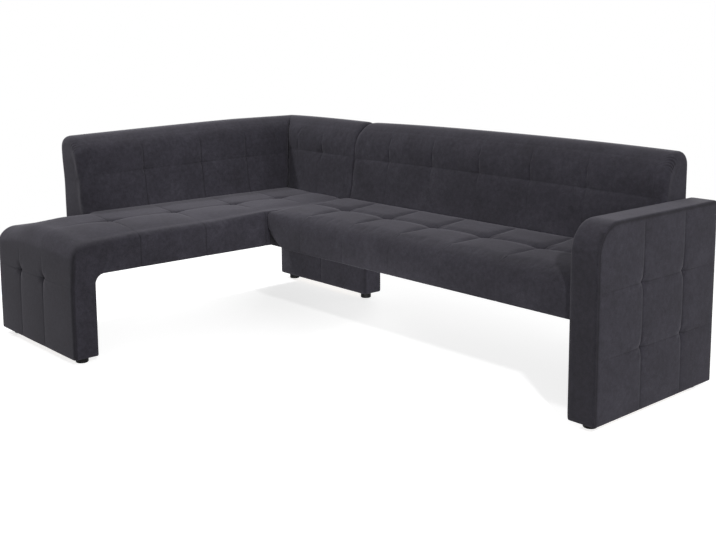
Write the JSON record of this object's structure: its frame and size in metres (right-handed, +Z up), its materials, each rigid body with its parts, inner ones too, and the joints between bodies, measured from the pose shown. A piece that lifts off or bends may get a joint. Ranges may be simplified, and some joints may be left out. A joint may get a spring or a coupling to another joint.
{
  "type": "upholstered corner bench",
  "caption": "L-shaped upholstered dining corner bench in dark velour with tufted seats and backs, a waterfall end leg, a panel arm and short round feet.",
  "frame": {"origin": "on the floor under the middle of the bench's bounding box", "axes": "+X along the long wing towards the arm, +Z up, -Y towards the sitter on the long wing"},
  "size_m": [2.5, 1.615, 0.87],
  "materials": {
    "velour": "matte velour",
    "dust_cloth": "matte non-woven",
    "rear_cloth": "matte",
    "webbing": "woven",
    "timber": "sawn",
    "board": "raw board",
    "bracket_steel": "satin",
    "fastener_steel": "zinc plated",
    "foot_plastic": "matte"
  },
  "bodies": {
    "root": {"arm_bolts": "fastener_steel", "arm_bottom_block": "timber", "arm_boxing_band": "velour", "arm_face_boards": "board", "arm_feet": "foot_plastic", "arm_inner_pad": "velour", "arm_outer_pad": "velour", "arm_posts": "timber", "arm_seat_rail": "timber", "arm_top_rail": "timber", "corner_back_brackets": "bracket_steel", "corner_back_pad": "velour", "corner_back_posts": "timber", "corner_back_rails": "timber", "corner_back_rear_cover": "rear_cloth", "corner_back_webbing": "webbing", "corner_leg_bottom_block": "timber", "corner_leg_cover": "velour", "corner_leg_face_boards": "board", "corner_leg_feet": "foot_plastic", "corner_leg_stiles": "timber", "corner_leg_top_block": "timber", "end_leg_bottom_block": "timber", "end_leg_cover": "velour", "end_leg_face_boards": "board", "end_leg_feet": "foot_plastic", "end_leg_stiles": "timber", "end_leg_top_block": "timber", "long_back_brackets": "bracket_steel", "long_back_pad": "velour", "long_back_posts": "timber", "long_back_rails": "timber", "long_back_rear_cover": "rear_cloth", "long_back_webbing": "webbing", "long_cross_rails": "timber", "long_dust_cover": "dust_cloth", "long_front_rail": "timber", "long_rear_rail": "timber", "long_seat_pad": "velour", "long_seat_webbing": "webbing", "module_bolts": "fastener_steel", "module_nuts": "fastener_steel", "short_back_brackets": "bracket_steel", "short_back_pad": "velour", "short_back_posts": "timber", "short_back_rails": "timber", "short_back_rear_cover": "rear_cloth", "short_back_webbing": "webbing", "short_cross_rails": "timber", "short_dust_cover": "dust_cloth", "short_front_rail": "timber", "short_rear_rail": "timber", "short_seat_pad": "velour", "short_seat_webbing": "webbing", "waterfall_pad": "velour"}
  },
  "joints": []
}
